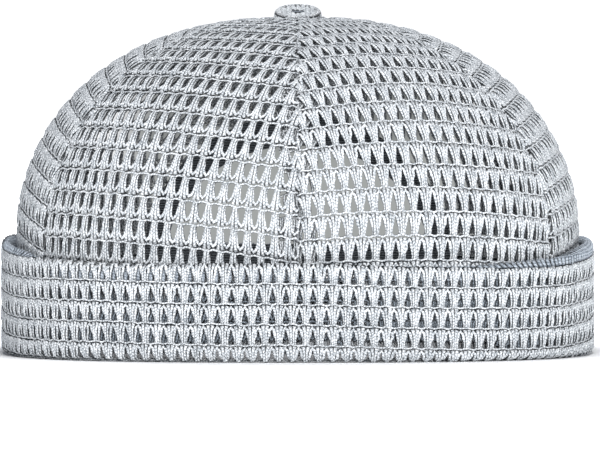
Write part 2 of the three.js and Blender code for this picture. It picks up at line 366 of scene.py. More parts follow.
def clothTree():
    tree = bpy.data.node_groups.new("openworkCloth", "GeometryNodeTree")
    for name, kind in clothInputs.items():
        tree.interface.new_socket(name, in_out="INPUT", socket_type=kind)
    tree.interface.new_socket("Cloth", in_out="OUTPUT", socket_type="NodeSocketGeometry")
    given = addNode(tree, "NodeGroupInput", output=None).outputs
    guide = addNode(tree, "GeometryNodeObjectInfo", None, {"Object": given["Guide"]}, "Geometry")

    pattern = addNode(tree, "GeometryNodeInputNamedAttribute", {"data_type": "FLOAT_VECTOR"},
                      {"Name": "pattern"})

    def onGuide(kind, value, flatPlace):
        # What the guide holds at a place of the flat cloth: a value, or an attribute by its name
        if isinstance(value, str):
            value = addNode(tree, "GeometryNodeInputNamedAttribute", {"data_type": kind}, {"Name": value})
        return addNode(tree, "GeometryNodeSampleUVSurface", {"data_type": kind}, {
            "Mesh": guide, "Value": value, "Source UV Map": pattern, "Sample UV": flatPlace,
        }, None).outputs

    # A point for each stitch on the flat cloth
    sizes = []
    for count, pitch in (("Columns", "Pitch Across"), ("Rows", "Pitch Up")):
        gaps = addNode(tree, "ShaderNodeMath", {"operation": "SUBTRACT"}, (given[count], 1.0))
        sizes.append(addNode(tree, "ShaderNodeMath", {"operation": "MULTIPLY"}, (gaps, given[pitch])))
    grid = addNode(tree, "GeometryNodeMeshGrid", None, {
        "Size X": sizes[0], "Size Y": sizes[1], "Vertices X": given["Columns"], "Vertices Y": given["Rows"],
    }, "Mesh")
    centre = addNode(tree, "ShaderNodeCombineXYZ", None, (given["Centre Across"], given["Centre Up"]))
    moved = addNode(tree, "GeometryNodeSetPosition", None, {"Geometry": grid, "Offset": centre})
    place = addNode(tree, "GeometryNodeInputPosition")
    placeParts = addNode(tree, "ShaderNodeSeparateXYZ", None, (place,), None).outputs
    drop = addNode(tree, "ShaderNodeMath", {"operation": "MULTIPLY"}, (placeParts["X"], given["Row Drift"]))
    drift = addNode(tree, "ShaderNodeCombineXYZ", None, {"Y": drop})
    sheared = addNode(tree, "GeometryNodeSetPosition", None, {"Geometry": moved, "Offset": drift})
    flat = addNode(tree, "ShaderNodeVectorMath", {"operation": "DIVIDE"}, (place, [patternUnit] * 3))
    cell = onGuide("FLOAT", "cell", flat)
    kept = addNode(tree, "ShaderNodeMath", {"operation": "MULTIPLY"}, (cell["Value"], cell["Is Valid"]))
    isOut = addNode(tree, "ShaderNodeMath", {"operation": "LESS_THAN"}, (kept, onBorder))
    points = addNode(tree, "GeometryNodeDeleteGeometry", {"domain": "POINT"},
                     {"Geometry": sheared, "Selection": isOut})

    # The stitches, each a little unlike the next
    lean = addNode(tree, "FunctionNodeRandomValue", {"data_type": "FLOAT"},
                   {2: -looseness["lean"], 3: looseness["lean"], "Seed": given["Seed"]}, 1)
    leaning = addNode(tree, "ShaderNodeMath", {"operation": "ADD"}, (lean, given["Turn"]))
    turn = addNode(tree, "ShaderNodeCombineXYZ", None, {"Z": leaning})
    size = addNode(tree, "FunctionNodeRandomValue", {"data_type": "FLOAT_VECTOR"},
                   {0: looseness["smallest"], 1: looseness["largest"], "Seed": given["Seed"]})
    scale = addNode(tree, "ShaderNodeVectorMath", {"operation": "MULTIPLY"}, (size, given["Stitch Scale"]))
    choice = addNode(tree, "GeometryNodeJoinGeometry", output=None)
    for name in (*variantNames, "Plain Stitch"):
        unit = addNode(tree, "GeometryNodeObjectInfo", None,
                       {"Object": given[name], "As Instance": True}, "Geometry")
        if name in variantNames:
            tree.links.new(unit, choice.inputs[0])
    pick = addNode(tree, "FunctionNodeRandomValue", {"data_type": "INT"},
                   {4: 0, 5: stitch["variants"] - 1, "Seed": given["Seed"]}, 2)
    plainness = onGuide("FLOAT", "plain", flat)["Value"]
    isPlain = addNode(tree, "ShaderNodeMath", {"operation": "GREATER_THAN"}, (plainness, onBorder))
    isFull = addNode(tree, "ShaderNodeMath", {"operation": "SUBTRACT"}, (1.0, isPlain))
    both = addNode(tree, "GeometryNodeJoinGeometry", output=None)
    kinds = ((isFull, choice.outputs[0], True), (isPlain, unit, False))
    for selection, instance, many in kinds:
        laid = addNode(tree, "GeometryNodeInstanceOnPoints", None, {
            "Points": points, "Selection": selection, "Instance": instance, "Pick Instance": many,
            "Instance Index": pick, "Rotation": turn, "Scale": scale,
        })
        tree.links.new(laid, both.inputs[0])
    real = addNode(tree, "GeometryNodeRealizeInstances", None, (both.outputs[0],))

    # The cloth is never quite even, so its flat places wander before it is bent
    seedShift = addNode(tree, "ShaderNodeMath", {"operation": "MULTIPLY"},
                        (given["Seed"], looseness["wanderSeed"]))
    seedPlace = addNode(tree, "ShaderNodeCombineXYZ", None, {"Z": seedShift})
    noisePlace = addNode(tree, "ShaderNodeVectorMath", {"operation": "ADD"}, (place, seedPlace))
    offsets = []
    for waves, reach in looseness["wander"]:
        noise = addNode(tree, "ShaderNodeTexNoise", {"noise_dimensions": "3D"},
                        {"Vector": noisePlace, "Scale": waves, "Detail": 1.0}, "Color")
        evened = addNode(tree, "ShaderNodeVectorMath", {"operation": "SUBTRACT"}, (noise, (0.5, 0.5, 0.5)))
        offsets.append(addNode(tree, "ShaderNodeVectorMath", {"operation": "MULTIPLY"},
                               (evened, (reach, reach, 0))))
    wander = addNode(tree, "ShaderNodeVectorMath", {"operation": "ADD"}, offsets)
    shift = addNode(tree, "ShaderNodeVectorMath", {"operation": "SCALE"},
                    {0: wander, "Scale": given["Waviness"]})
    wandered = addNode(tree, "ShaderNodeVectorMath", {"operation": "ADD"}, (place, shift))
    perUnit = (1 / patternUnit, 1 / patternUnit, 0)
    footprint = addNode(tree, "ShaderNodeVectorMath", {"operation": "MULTIPLY"}, (wandered, perUnit))

    # Bent over the guide, and cut at its trim
    surface = onGuide("FLOAT_VECTOR", place, footprint)
    outward = onGuide("FLOAT_VECTOR", "outward", footprint)["Value"]
    trim = onGuide("FLOAT", "trim", footprint)["Value"]
    height = addNode(tree, "ShaderNodeMath", {"operation": "MULTIPLY"}, (placeParts["Z"], mm))
    raised = addNode(tree, "ShaderNodeVectorMath", {"operation": "SCALE"}, {0: outward, "Scale": height})
    bent = addNode(tree, "ShaderNodeVectorMath", {"operation": "ADD"}, (surface["Value"], raised))
    inside = addNode(tree, "ShaderNodeMath", {"operation": "MULTIPLY"}, (trim, surface["Is Valid"]))
    cut = addNode(tree, "GeometryNodeCaptureAttribute", {"domain": "POINT"}, {"Geometry": real}, None)
    for kind, name, value in (("FLOAT", "inside", inside), ("VECTOR", "bent", bent)):
        cut.capture_items.new(kind, name)
        tree.links.new(value, cut.inputs[name])
    shaped = addNode(tree, "GeometryNodeSetPosition", None,
                     {"Geometry": cut.outputs["Geometry"], "Position": cut.outputs["bent"]})
    isCut = addNode(tree, "ShaderNodeMath", {"operation": "LESS_THAN"}, (cut.outputs["inside"], onBorder))
    whole = addNode(tree, "GeometryNodeDeleteGeometry", {"domain": "POINT"},
                    {"Geometry": shaped, "Selection": isCut})
    joined = addNode(tree, "GeometryNodeRealizeInstances", None, {"Geometry": whole})
    painted = addNode(tree, "GeometryNodeSetMaterial", None,
                      {"Geometry": joined, "Material": given["Yarn"]})
    addNode(tree, "NodeGroupOutput", None, {"Cloth": painted}, None)
    return tree


def addGuide(name, points, outward, pattern, numbers):
    # points, outward, pattern and each of the numbers are grids of rows and columns. The numbers
    # cell, trim and plain tell where a stitch may stand, where the cloth is kept and where the
    # plain stitch will do.
    rows, columns = points.shape[:2]
    mesh = bpy.data.meshes.new(name)
    index = np.arange(rows * columns).reshape(rows, columns)
    corners = np.stack([index[:-1, :-1], index[:-1, 1:], index[1:, 1:], index[1:, :-1]], axis=-1)
    corners = corners.reshape(-1, 4)
    mesh.from_pydata([tuple(p) for p in (points * mm).reshape(-1, 3)], [], corners.tolist())
    flat = pattern.reshape(-1, 2)[corners.ravel()] / patternUnit
    mesh.uv_layers.new(name="pattern").data.foreach_set("uv", flat.ravel())
    mesh.attributes.new("outward", "FLOAT_VECTOR", "POINT").data.foreach_set("vector", outward.ravel())
    for key, grid in numbers.items():
        mesh.attributes.new(key, "FLOAT", "POINT").data.foreach_set("value", grid.ravel())
    return addObject(name, mesh)


def makeCloth(name, tree, guide, values, yarn):
    obj = addObject(name, bpy.data.meshes.new(name + "Start"))
    modifier = obj.modifiers.new("openwork", "NODES")
    modifier.node_group = tree
    sockets = {item.name: item.identifier for item in tree.interface.items_tree if item.in_out == "INPUT"}
    level = {"Centre Across": 0.0, "Centre Up": 0.0, "Row Drift": 0.0, "Turn": 0.0}
    for key, value in {**stitchUnits, **level, **values, "Guide": guide, "Yarn": yarn}.items():
        modifier[sockets[key]] = value
    bpy.context.view_layer.update()
    made = bpy.data.meshes.new_from_object(obj.evaluated_get(bpy.context.evaluated_depsgraph_get()))
    made.name = name
    obj.modifiers.clear()
    obj.data = made
    bpy.data.objects.remove(guide)
    print(name, len(made.vertices), "points", triangleCount(made), "triangles")
    return obj


# Cloth of the gores
gore = {
    "pitchAcross": 4.2,
    "columns": 27,
    "spareRows": 4,
    "creaseRadius": 1,
    "creaseShare": 0.06,  # near the top a crease is this share of half the gore's width, and a rest
    "creaseRest": 0.15,
    "allowance": 6,
    "allowanceShare": 0.45,
    "margin": 3,
    "plainFrom": 3.4,  # from the crease on, where only the plain stitch is needed
    "sagFull": 20,  # distances from the top: from here on the rows sag in full,
    "dropFrom": 80,  # and between these their sag changes to that at the hem
    "dropTo": 125,
    "nearShare": 0.95,  # the way out to a seam is found from this share of the reach
    "acrossSteps": 24,
    "creaseSteps": 6,
    "allowanceSteps": 4,
    "arcSteps": 96,
    "bandSteps": 12,
    "upSteps": 72,
    "stepCurve": 0.92,
    "topClimb": 0.975,
    "waviness": 1.0,
    "seed": 3,
}

# How the rows of each gore run: their height, their sag towards the seams high up and at the
# hem, their slope, and where they start
goreRows = {
    "front_right": {"pitch": 7.6, "sag": 4.4, "hemSag": 1.9, "slope": -0.02, "start": -0.8},
    "side_right": {"pitch": 7.3, "sag": 6, "hemSag": 5, "slope": 0, "start": -3},
    "back_right": {"pitch": 7.3, "sag": 4.4, "hemSag": 2, "slope": 0, "start": -3},
    "back_left": {"pitch": 7.3, "sag": 4.4, "hemSag": 2, "slope": 0, "start": -3},
    "side_left": {"pitch": 7.3, "sag": 8, "hemSag": 6.5, "slope": 0, "start": 1.6},
    "front_left": {"pitch": 7.3, "sag": 2, "hemSag": 1.8, "slope": -0.08, "start": -2.2},
}


def goreGuide(index, rows):
    g = gore
    middle = (index + 0.5) * 2 * math.pi / crown["panels"]
    half = math.pi / crown["panels"]
    inset = crown["fabricMiddle"]
    dome = g["topClimb"] * np.linspace(0, 1, g["upSteps"] - g["bandSteps"]) ** g["stepCurve"]
    climbs = np.concatenate([np.linspace(-1, 0, g["bandSteps"], endpoint=False), dome])
    up = runAlong(np.array([crownPoint(middle, c, inset) for c in climbs]))
    sag = np.interp(up[-1] - up, (0, g["sagFull"], g["dropFrom"], g["dropTo"]),
                    (0, rows["sag"], rows["sag"], rows["hemSag"]))
    fine = np.linspace(-1, 1, g["arcSteps"] + 1)
    turnSteps = np.linspace(0, math.pi, g["creaseSteps"] + 1)[1:]
    points, outward, pattern, trim, plain = [], [], [], [], []
    for c, rowUp, rowSag in zip(climbs, up, sag):
        run = runAlong(np.array([crownPoint(middle + f * half, c, inset) for f in fine]))
        run -= run[len(fine) // 2]
        reaches = {-1: -run[0], 1: run[-1]}
        least = min(reaches.values())
        radius = min(g["creaseRadius"], g["creaseShare"] * least + g["creaseRest"])
        allowance = min(g["allowance"], g["allowanceShare"] * least)

        def place(u):
            azimuth = middle + np.interp(u, run, fine) * half
            return crownPoint(azimuth, c, inset), crownOutward(azimuth, c, inset)

        def fold(side):
            # The crease at a seam and the allowance behind it: point, facing and flat place
            flatReach = reaches[side] - radius
            base, normal = place(side * flatReach)
            near, _ = place(side * flatReach * g["nearShare"])
            along = (base - near) / np.linalg.norm(base - near)
            hub = base - normal * radius
            found = []
            for angle in turnSteps:
                facing = along * math.sin(angle) + normal * math.cos(angle)
                found.append((hub + facing * radius, facing, side * (flatReach + radius * angle)))
            for back in np.linspace(0, allowance + g["margin"], g["allowanceSteps"] + 1)[1:]:
                lies = hub - normal * radius - along * back
                found.append((lies, -normal, side * (flatReach + radius * math.pi + back)))
            return found

        flats = np.linspace(radius - reaches[-1], reaches[1] - radius, g["acrossSteps"] + 1)
        line = [*reversed(fold(-1)), *((*place(u), u) for u in flats), *fold(1)]
        across = np.array([item[2] for item in line])
        reach = np.where(across > 0, reaches[1], reaches[-1])
        share = np.clip(np.abs(across) / reach, 0, 1)
        points.append([item[0] for item in line])
        outward.append([item[1] for item in line])
        pattern.append(np.stack([across, rowUp + rowSag * share ** 2], axis=-1))
        pastCrease = np.abs(across) - reach + radius
        trim.append(np.clip(onBorder + radius * math.pi + allowance - pastCrease, 0, 1))
        plain.append(np.clip(onBorder + pastCrease - g["plainFrom"], 0, 1))
    points = np.array(points)
    trim = np.minimum(np.array(trim), halfMoonTrim(points))
    numbers = {"cell": trim, "trim": trim, "plain": np.array(plain)}
    guide = addGuide(f"goreGuide{index}", points, np.array(outward), np.array(pattern), numbers)
    return guide, up[-1]


# Half-moon gap at the back, as the solid gores have it
halfMoon = {"halfWidth": 43.2, "height": 38, "footHeight": 26.3, "cutFoot": 29.5}


def halfMoonTrim(points):
    h = halfMoon
    x, y, z = points[..., 0], points[..., 1], points[..., 2]
    rise = np.maximum(z - h["footHeight"], 0)
    share = np.hypot(x / h["halfWidth"], rise / h["height"])
    outside = (share - 1) * h["height"]
    outside = np.maximum(outside, h["cutFoot"] - z)
    return np.where(y > 0, np.clip(onBorder + outside, 0, 1), 1)


# Materials
yarnColours = {
    "light": "#f4f7fa", "shade": "#8a9299", "grooveShade": "#1f2428", "brighter": 0,
    "plyMm": 0.95, "patchMm": 3,
    "fibreMm": 0.4,  # coarser than a loose fibre really is, so that it shows
    "fibreTwist": 1.3,  # how far loose fibres bend the plies
    "ridgeRelief": 0.8, "fibreRelief": 1.3, "reliefTone": 0.8, "patchTone": 0.4,
    "toneFrom": 0.65, "toneTo": 1.06,
    "grooveFrom": 0.38, "grooveTo": 0.98,  # how far round a yarn the groove's shade reaches
    "grooveFibres": 0.3,
    "finish": {"bumpMm": 0.3, "roughness": 0.88, "sheen": 0.12},
}


dryCloth = {"Sheen Roughness": 0.6, "Specular IOR Level": 0.25}
grainRoughness = 0.6


def startMaterial(name, *grains):
    # A material without a shader yet, and a noise for each grain's size in millimetres and detail
    material = bpy.data.materials.new(name)
    material.use_nodes = True
    tree = material.node_tree
    tree.nodes.clear()
    place = addNode(tree, "ShaderNodeTexCoord", output="Object")
    noises = []
    for sizeMm, detail in grains:
        noises.append(addNode(tree, "ShaderNodeTexNoise", None, {
            "Vector": place, "Scale": 1 / (sizeMm * mm), "Detail": detail, "Roughness": grainRoughness,
        }, "Fac"))
    return material, tree, place, *noises


def paintBetween(tree, value, low, high, first, second):
    # From the first colour to the second as the value goes from low to high
    share = addNode(tree, "ShaderNodeMapRange", None, {"Value": value, "From Min": low, "From Max": high})
    return addNode(tree, "ShaderNodeMix", {"data_type": "RGBA"}, {"Factor": share, 6: first, 7: second}, 2)


def finishCloth(tree, colour, relief, bumpMm, roughness, sheen):
    # Dry fibres: relief in light and shade, hardly any gloss, a little sheen at the rims
    bump = addNode(tree, "ShaderNodeBump", None,
                   {"Height": relief, "Strength": 1.0, "Distance": bumpMm * mm})
    shader = addNode(tree, "ShaderNodeBsdfPrincipled", None, {
        "Base Color": colour, "Roughness": roughness, "Sheen Weight": sheen, "Normal": bump, **dryCloth,
    })
    addNode(tree, "ShaderNodeOutputMaterial", None, {"Surface": shader}, None)


def yarnMaterial(name, **changes):
    # Soft-spun cotton and polyester yarn, knitted: dull, two plies showing as short slanting
    # ridges, loose fibres and uneven patches. The colour is darker in the hollows of the relief and
    # round the sides of each yarn, towards the grooves between the yarns: painted shade.
    c = {**yarnColours, **changes}
    material, tree, _, fibres, patches = startMaterial(name, (c["fibreMm"], 2.0), (c["patchMm"], 1.0))
    yarnMap = addNode(tree, "ShaderNodeUVMap", {"uv_map": "yarn"})
    along = addNode(tree, "ShaderNodeSeparateXYZ", None, (yarnMap,), None).outputs
    run = addNode(tree, "ShaderNodeMath", {"operation": "DIVIDE"}, (along["X"], c["plyMm"]))
    turned = addNode(tree, "ShaderNodeMath", {"operation": "ADD"}, (run, along["Y"]))
    twist = addNode(tree, "ShaderNodeMath", {"operation": "MULTIPLY_ADD"}, (fibres, c["fibreTwist"], turned))
    ridge = addNode(tree, "ShaderNodeMath", {"operation": "PINGPONG"}, (twist, 0.5))
    fuzz = addNode(tree, "ShaderNodeMath", {"operation": "MULTIPLY"}, (fibres, c["fibreRelief"]))
    relief = addNode(tree, "ShaderNodeMath", {"operation": "MULTIPLY_ADD"}, (ridge, c["ridgeRelief"], fuzz))
    uneven = addNode(tree, "ShaderNodeMath", {"operation": "MULTIPLY_ADD"},
                     (patches, c["patchTone"], c["brighter"]))
    # Painted shade: the tone follows the relief, darker where the plies and fibres dip; the patches vary it
    # at random
    tone = addNode(tree, "ShaderNodeMath", {"operation": "MULTIPLY_ADD"}, (relief, c["reliefTone"], uneven))
    colour = paintBetween(tree, tone, c["toneFrom"], c["toneTo"],
                          linearColour(c["shade"]), linearColour(c["light"]))
    # Painted shade: round the sides of each yarn, towards the grooves between yarns, the colour turns to the
    # groove shade colour
    around = addNode(tree, "ShaderNodeMath", {"operation": "MULTIPLY"}, (along["Y"], 2 * math.pi))
    sine = addNode(tree, "ShaderNodeMath", {"operation": "SINE"}, (around,))
    facing = addNode(tree, "ShaderNodeMath", {"operation": "ABSOLUTE"}, (sine,))
    openness = addNode(tree, "ShaderNodeMath", {"operation": "MULTIPLY_ADD"},
                       (fibres, c["grooveFibres"], facing))
    colour = paintBetween(tree, openness, c["grooveFrom"], c["grooveTo"], linearColour(c["grooveShade"]), colour)
    finishCloth(tree, colour, relief, **c["finish"])
    return material


yarn = yarnMaterial("pale grey cotton yarn")
# A darker, bluer copy of the yarn for the rim's fold: painted shade for the top of the rim, which lies in
# shade
shadedFoldYarn = yarnMaterial("pale grey cotton yarn, shaded fold", light="#c5ced8", shade="#5d6874")
# A darker copy of the yarn for the cuff's inner layer: partly the reverse side of the knit, partly painted
# shade, as that layer lies in shade inside the cuff and behind its holes
shadedReverseYarn = yarnMaterial("pale grey cotton yarn, reverse side, shaded", light="#9aa4ae", shade="#3b444d")
stitchUnits, roundUnits, ribUnits = {}, {}, {}
seeds, fineSteps = stitch["seeds"], stitch["fineSteps"]
for i, key in enumerate(variantNames):
    stitchUnits[key] = stitchShape(f"stitch{i + 1}", seeds["stitch"] + i, fineSteps)
    roundUnits[key] = stitchShape(f"roundStitch{i + 1}", seeds["roundStitch"] + i, fineSteps, "roundHairpin")
    ribUnits[key] = ribbedShape(f"ribs{i + 1}", seeds["ribs"] + i)
stitchUnits["Plain Stitch"] = stitchShape("plainStitch", seeds["plainStitch"], stitch["plainSteps"])
allUnits = [*stitchUnits.values(), *roundUnits.values(), *ribUnits.values()]
for unit in allUnits:
    print(unit.name, triangleCount(unit.data), "triangles")
cloth = clothTree()

panelNames = ["front_right", "side_right", "back_right", "back_left", "side_left", "front_left"]


def addGores():
    g = gore
    for index, name in enumerate(panelNames):
        run = goreRows[name]
        guide, tall = goreGuide(index, run)
        rows = int(tall / run["pitch"]) + g["spareRows"]
        isTurned = index % 2 == 1
        values = {
            **(roundUnits if isTurned else {}),
            "Columns": g["columns"],
            "Rows": rows,
            "Pitch Across": g["pitchAcross"],
            "Pitch Up": run["pitch"],
            "Centre Up": (rows / 2 - 1) * run["pitch"] + run["start"],
            "Row Drift": float(run["slope"]),
            "Turn": math.pi if isTurned else 0.0,
            "Stitch Scale": (g["pitchAcross"] / stitch["width"], run["pitch"] / stitch["height"], 1),
            "Waviness": g["waviness"],
            "Seed": g["seed"] + index,
        }
        piece = makeCloth(f"openwork_{name}", cloth, guide, values, yarn)
        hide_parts(f"crown_panel_{name}")
        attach(piece, "root")


addGores()
print("gores made")

# Cloth of the cuff
cuffCloth = {
    "pitchAcross": 4.216,
    "pitchUp": 6.35,
    "firstRow": 7.35,  # from the top of the rim to the foot of the first row
    "climbs": [(-40, 18, 1.7), (60, 25, 0.6)],  # azimuth, reach and height of each climb of the rows
    "farthest": 60,
    "azimuthSteps": 240,
    "overlap": 4,
    "columnPhase": 0.6,
    "innerSlip": 2.1,  # how far the inner layer's columns stray from the outer's, low at the sides,
    "slipSides": 1.8,  # how soon they do so towards the sides,
    "slipFrom": 7.2,  # and how far below the rim that starts and is full
    "slipFull": 16.2,
    "foldMargin": 0.06,  # so that no stitch of the fold is lost on the border of its range
    "rows": 16,
    "waviness": 0.8,
    "seed": 21,
}


def cuffSection(azimuth):
    # From the flange's inner edge out, up the outer layer, over the rim and down the inner layer:
    # inset, height and the direction that the cloth faces in the plane of the section
    c = cuff
    flangeSteps, turnSteps, outerSteps, foldSteps, innerSteps = c["sectionSteps"]
    tilt = c["foldTilt"] * (0.5 + 0.5 * math.sin(azimuth)) ** c["foldTiltCurve"]
    outer, inner = c["outerMiddle"], c["innerMiddle"]
    bend = (inner - outer) / 2
    turn = c["bottomTurn"]
    found = []
    for inset in np.linspace(c["flange"], outer + turn, flangeSteps):
        found.append((inset, outer, 0, -1))
    for angle in np.linspace(0, 90, turnSteps)[1:] * degree:
        found.append((outer + turn * (1 - math.sin(angle)), outer + turn * (1 - math.cos(angle)),
                      -math.sin(angle), -math.cos(angle)))
    top = rimHeight(azimuth) - outer - tilt / 2 - math.hypot(bend, tilt / 2)
    for height in np.linspace(outer + turn, top, outerSteps)[1:]:
        found.append((outer, height, -1, 0))
    for angle in np.linspace(0, 180, foldSteps)[1:] * degree:
        height = top + bend * math.sin(angle) + tilt * (1 - math.cos(angle)) / 2
        found.append((outer + bend * (1 - math.cos(angle)), height, -math.cos(angle), math.sin(angle)))
    for height in np.linspace(top + tilt, c["innerHem"], innerSteps)[1:]:
        closer = min(max((top + tilt - height) / c["closingHeight"], 0), 1)
        found.append((inner + (c["innerPressed"] - inner) * closer, height, 1, 0))
    return np.array(found)


def rowLift(azimuth):
    # The rows stay level where the rim swells up, and climb a little in places of their own
    turned = (azimuth / degree + 180) % 360 - 180
    climbs = [lift * math.exp(-(((turned - middle) / reach) ** 2) / 2)
              for middle, reach, lift in cuffCloth["climbs"]]
    return sum(climbs) - templeSwell(azimuth)


def cuffGuide(name, low, high, isPlain):
    k = cuffCloth
    steps = k["azimuthSteps"]
    spare = k["overlap"]
    step = cuff["normalStep"]
    azimuths = np.arange(-spare, steps + spare + 1) * 2 * math.pi / steps + math.pi
    across = runAlong(np.array([cuffPoint(a, cuff["outerMiddle"], 0) for a in azimuths]))
    around = across[steps + spare] - across[spare]
    across = across - across[spare] - around / 2
    upward = np.array((0, 0, 1))
    points, outward, pattern, cell = [], [], [], []
    for azimuth, u in zip(azimuths, across):
        section = cuffSection(azimuth)
        ahead = cuffPoint(azimuth + step, 0, 0) - cuffPoint(azimuth - step, 0, 0)
        away = np.cross(ahead / np.linalg.norm(ahead), upward)
        lengths = np.hypot(np.diff(section[:, 0]), np.diff(section[:, 1]))
        run = np.concatenate([[0], np.cumsum(lengths)])
        down = run[np.argmax(section[:, 1])] - run
        points.append([cuffPoint(azimuth, inset, height) for inset, height, _, _ in section])
        outward.append([-away * inward + upward * up for _, _, inward, up in section])
        sideways = min(abs(math.sin(azimuth)) * k["slipSides"], 1)
        lowDown = np.clip((-down - k["slipFrom"]) / (k["slipFull"] - k["slipFrom"]), 0, 1)
        slip = k["innerSlip"] * sideways * lowDown
        patternUp = -down - rowLift(azimuth)
        pattern.append(np.stack([u + slip, patternUp], axis=-1))
        belongs = np.minimum(patternUp - low, high - patternUp)
        inTurn = min(u + around / 2, around / 2 - u)
        cell.append(np.clip(np.minimum(onBorder + belongs, onBorder + inTurn), 0, 1))
    cell = np.array(cell)
    numbers = {"cell": cell, "trim": np.ones_like(cell), "plain": np.full(cell.shape, float(isPlain))}
    guide = addGuide(name, np.array(points), np.array(outward), np.array(pattern), numbers)
    return guide, around


def addCuff():
    k = cuffCloth
    foldFrom = k["pitchUp"] - k["firstRow"]
    foldTo = foldFrom + k["pitchUp"]
    margin = k["foldMargin"]
    layers = [
        ("cuff_outer_layer", -k["farthest"], foldFrom, False, stitchUnits, yarn),
        ("cuff_rim_fold", foldFrom - margin, foldTo + margin, False, ribUnits, shadedFoldYarn),
        ("cuff_inner_layer", foldTo, k["farthest"], True, stitchUnits, shadedReverseYarn),
    ]
    for name, low, high, isPlain, units, layerYarn in layers:
        guide, around = cuffGuide(name + "Guide", low, high, isPlain)
        columns = round(around / k["pitchAcross"])
        pitch = around / columns
        values = {
            **units,
            "Columns": columns,
            "Rows": k["rows"],
            "Pitch Across": pitch,
            "Pitch Up": k["pitchUp"],
            "Centre Across": k["columnPhase"],
            "Centre Up": -k["firstRow"] + k["pitchUp"] / 2 + k["pitchUp"] / 2,
            "Row Drift": -k["pitchUp"] / around,
            "Stitch Scale": (pitch / stitch["width"], k["pitchUp"] / stitch["height"], 1),
            "Waviness": k["waviness"],
            "Seed": k["seed"],
        }
        piece = makeCloth(name, cloth, guide, values, layerYarn)
        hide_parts("cuff")
        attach(piece, "root")


addCuff()
print("cuff made")


def addMesh(name, vertices, faces, materials, faceMaterials=None):
    mesh = bpy.data.meshes.new(name)
    mesh.from_pydata([tuple(v) for v in vertices], [], faces)
    mesh.polygons.foreach_set("use_smooth", [True] * len(mesh.polygons))
    for material in materials:
        mesh.materials.append(material)
    if faceMaterials is not None:
        mesh.polygons.foreach_set("material_index", faceMaterials)
    mesh.validate()
    return addObject(name, mesh)


# Covered button, leaning forwards on the crown, in a fine plain knit that dips into its middle
button = {
    "seat": 105.75,
    "profile": [(0, -3.2), (2.2, -3.2), (2.2, -0.5), (6.3, -0.6), (6.9, -0.3), (7.0, 0.3), (6.9, 0.85),
                (6.6, 1.1), (6, 1.1), (4, 1.1), (2.4, 1.1), (1.7, 1.0), (1.4, 0.7), (1.2, 0.3), (0, 0.2)],
    "ring": (6.45, 1.05, 0.85),  # the ring's radius, its height and that of its cord
    "lean": 0.28,
    "leanHeight": 0.8,  # the button's foot stands level and its face leans
    "sides": 64,
    "cordSides": 10,
    "finerBy": 3,
    "firstKnitted": 4,  # the profile's places between which the knit lies
    "lastKnitted": 11,
    "knittedSteps": 30,
    "columns": 15,
    "rows": 17,
    "pitchAcross": 1.5,
    "pitchUp": 1.3,
    "turn": 1.35,
    "stitchScale": (1.15, 1.2, 1.4),
    "waviness": 0.5,
    "seed": 41,
    "leg": [(0.62, 0.72, -0.12, 0.2), (0.4, 0.2, 0.12, 0.31), (0.22, -0.28, 0.1, 0.3),
            (0.12, -0.66, -0.14, 0.18)],
    "legSides": 5,
    "legUnevenness": 0.04,
    "legSeed": 80,
    # The button's yarn is a little brighter than the crown's: partly its denser cover, partly painted light
    # for its face, which the lamps reach at a low angle
    "brighter": 0.02,
    "cordYarn": {"plyMm": 1.2, "shade": "#4d545a"},
    "core": "#6f767d",
    "pitShade": "#24282c",
    "fibreMm": 0.4,
    "finish": {"bumpMm": 0.1, "roughness": 0.9, "sheen": 0.05},
}


def buttonPlace(radius, height, angle):
    x, y = radius * math.cos(angle), radius * math.sin(angle)
    share = min(max(height / button["leanHeight"], 0), 1)
    return np.array((x, y, button["seat"] + height + share * button["lean"] * y))


def jerseyUnits():
    # V stitches of the plain knit, each a little uneven
    b = button
    units = {}
    for variant, name in enumerate((*variantNames, "Plain Stitch")):
        random = np.random.default_rng(b["legSeed"] + variant)
        parts = MeshParts()
        for side in (-1, 1):
            leg = np.array([(side * x, y, z, r) for x, y, z, r in b["leg"]])
            leg[1:-1, :3] += random.normal(0, b["legUnevenness"], (len(leg) - 2, 3))
            parts.addTube(leg, b["legSides"], side)
        units[name] = parts.toObject(f"jersey{variant}")
    return units


def buttonGuide():
    b = button
    knitted = smoothPath(b["profile"][b["firstKnitted"]:b["lastKnitted"] + 1], b["knittedSteps"])
    run = runAlong(knitted)
    fromMiddle = knitted[-1, 0] + run[-1] - run
    angles = np.linspace(0, 2 * math.pi, b["sides"] + 1)
    points = np.array([[buttonPlace(r, h, a) for a in angles] for r, h in knitted])
    pattern = np.array([[(s * math.cos(a), s * math.sin(a)) for a in angles] for s in fromMiddle])
    along = np.gradient(points, axis=0)
    around = np.gradient(points, axis=1)
    around[:, 0] = around[:, -1] = points[:, 1] - points[:, -2]
    outward = np.cross(around, along)
    outward /= np.linalg.norm(outward, axis=2)[..., None]
    ones = np.ones(points.shape[:2])
    return addGuide("buttonGuide", points, outward, pattern, {"cell": ones, "trim": ones, "plain": ones * 0})


def liningMaterial(name, hexColour):
    # Cotton lining under the knit, woven too fine to show: flat and dull. The dark one, in the dimple of the
    # knit, is painted shade.
    material, tree, _, fibres = startMaterial(name, (button["fibreMm"], 2.0))
    finishCloth(tree, linearColour(hexColour), fibres, **button["finish"])
    return material


